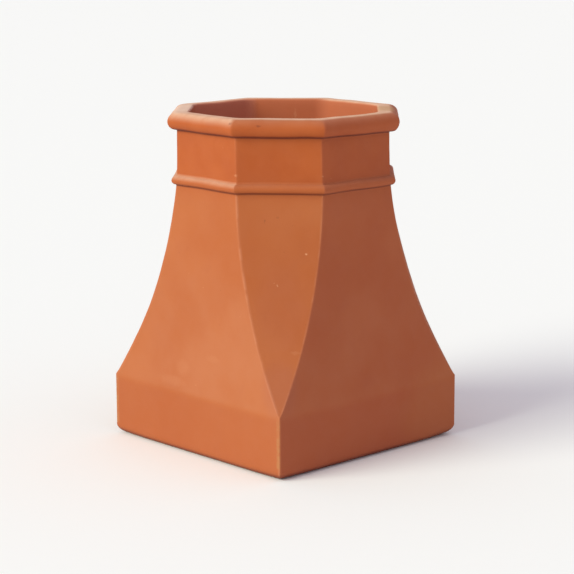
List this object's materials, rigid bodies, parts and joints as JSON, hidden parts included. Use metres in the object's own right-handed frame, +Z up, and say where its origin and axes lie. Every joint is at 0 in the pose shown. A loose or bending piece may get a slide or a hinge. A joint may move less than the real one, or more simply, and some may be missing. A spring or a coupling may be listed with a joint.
{
  "type": "chimney pot",
  "caption": "Moulded terracotta chimney pot, square at the foot and eight-sided at the neck, with a beaded neck band, a rolled rim and an open flue right through.",
  "frame": {"origin": "centre of the underside, on the surface the pot stands on", "axes": "+Z up along the flue; X and Y square to the four sides of the plinth"},
  "size_m": [0.457, 0.457, 0.622],
  "materials": {
    "terracotta": "matte, unglazed, weathered"
  },
  "bodies": {
    "root": {"chimney_pot": "terracotta"}
  },
  "joints": []
}
